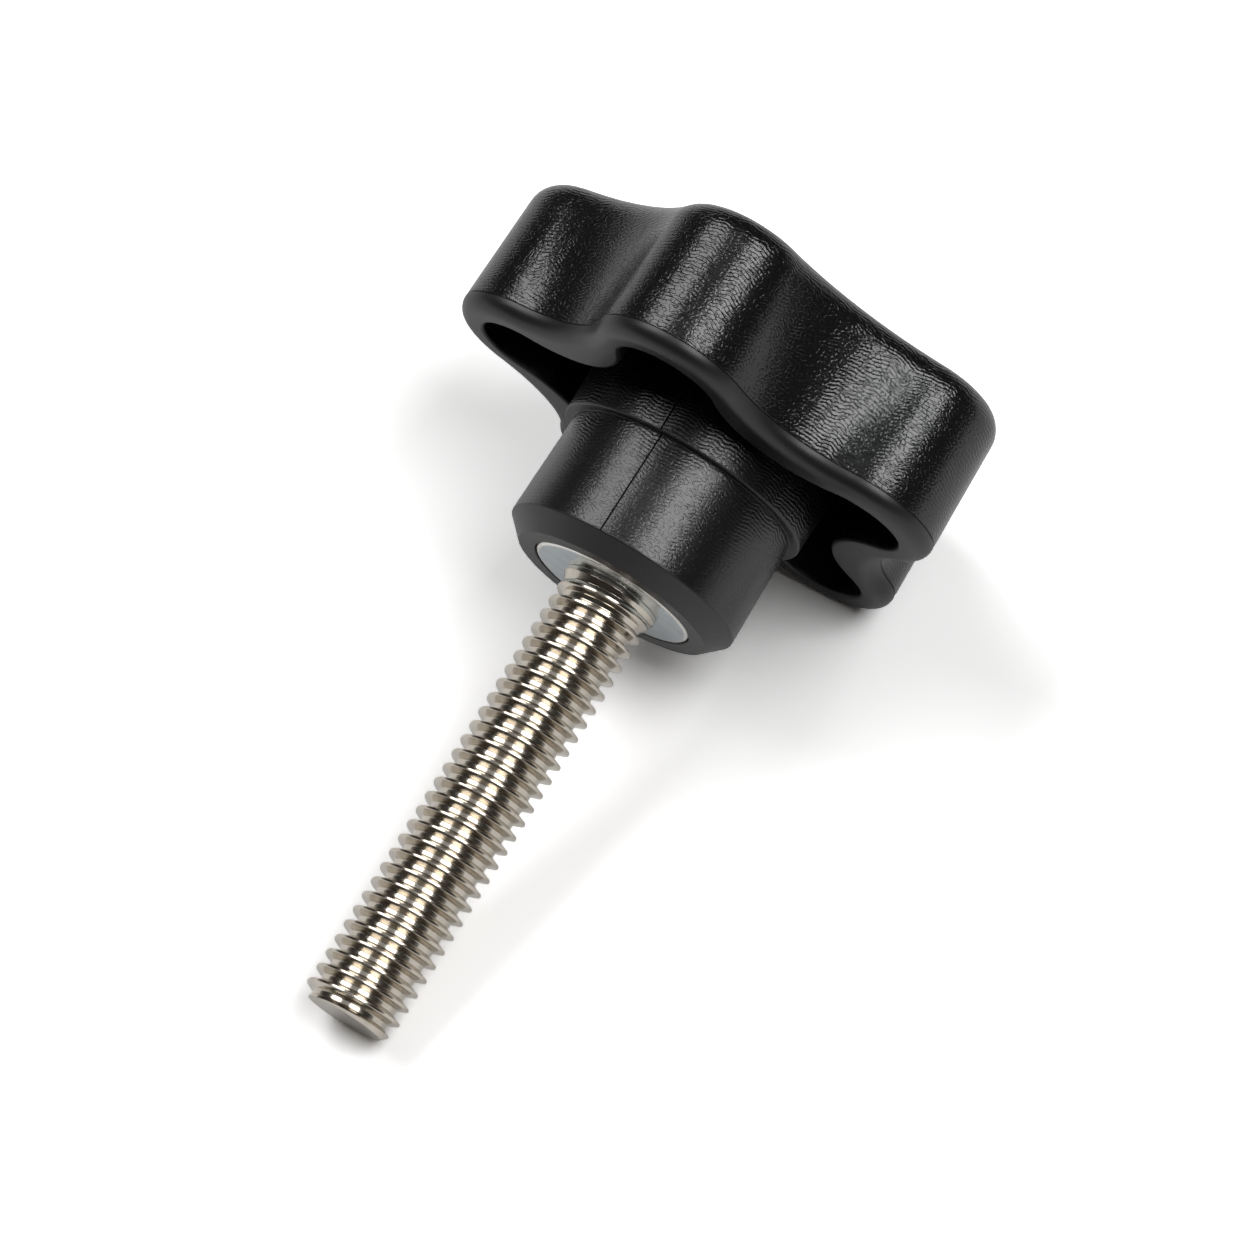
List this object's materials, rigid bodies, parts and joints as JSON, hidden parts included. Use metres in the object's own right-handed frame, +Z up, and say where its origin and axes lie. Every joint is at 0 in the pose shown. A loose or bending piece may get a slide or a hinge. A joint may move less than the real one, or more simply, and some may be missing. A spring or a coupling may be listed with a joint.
{
  "type": "thumb screw",
  "caption": "Hollow lobed plastic clamping knob with a steel insert in its hub and a metric threaded stud, lying on its side.",
  "frame": {"origin": "centre of the bottom of the part's box, on the surface that the knob lies on", "axes": "+X runs along the stud's projection on the surface, from its tip towards the head; +Y across the head; +Z up, away from the surface"},
  "size_m": [0.0522, 0.0328, 0.0324],
  "materials": {
    "moulded_plastic": "black glass-filled moulding with a fine spark-eroded grain, smooth satin rim, shoulder and end face",
    "zinc_plated_steel": "turned face with bright bluish zinc plating and a polished chamfer",
    "stud_steel": "bright rolled thread, warm nickel tone, faint turning marks on the tip"
  },
  "bodies": {
    "root": {"knob_body": "moulded_plastic", "threaded_insert": "zinc_plated_steel", "threaded_stud": "stud_steel"}
  },
  "joints": []
}
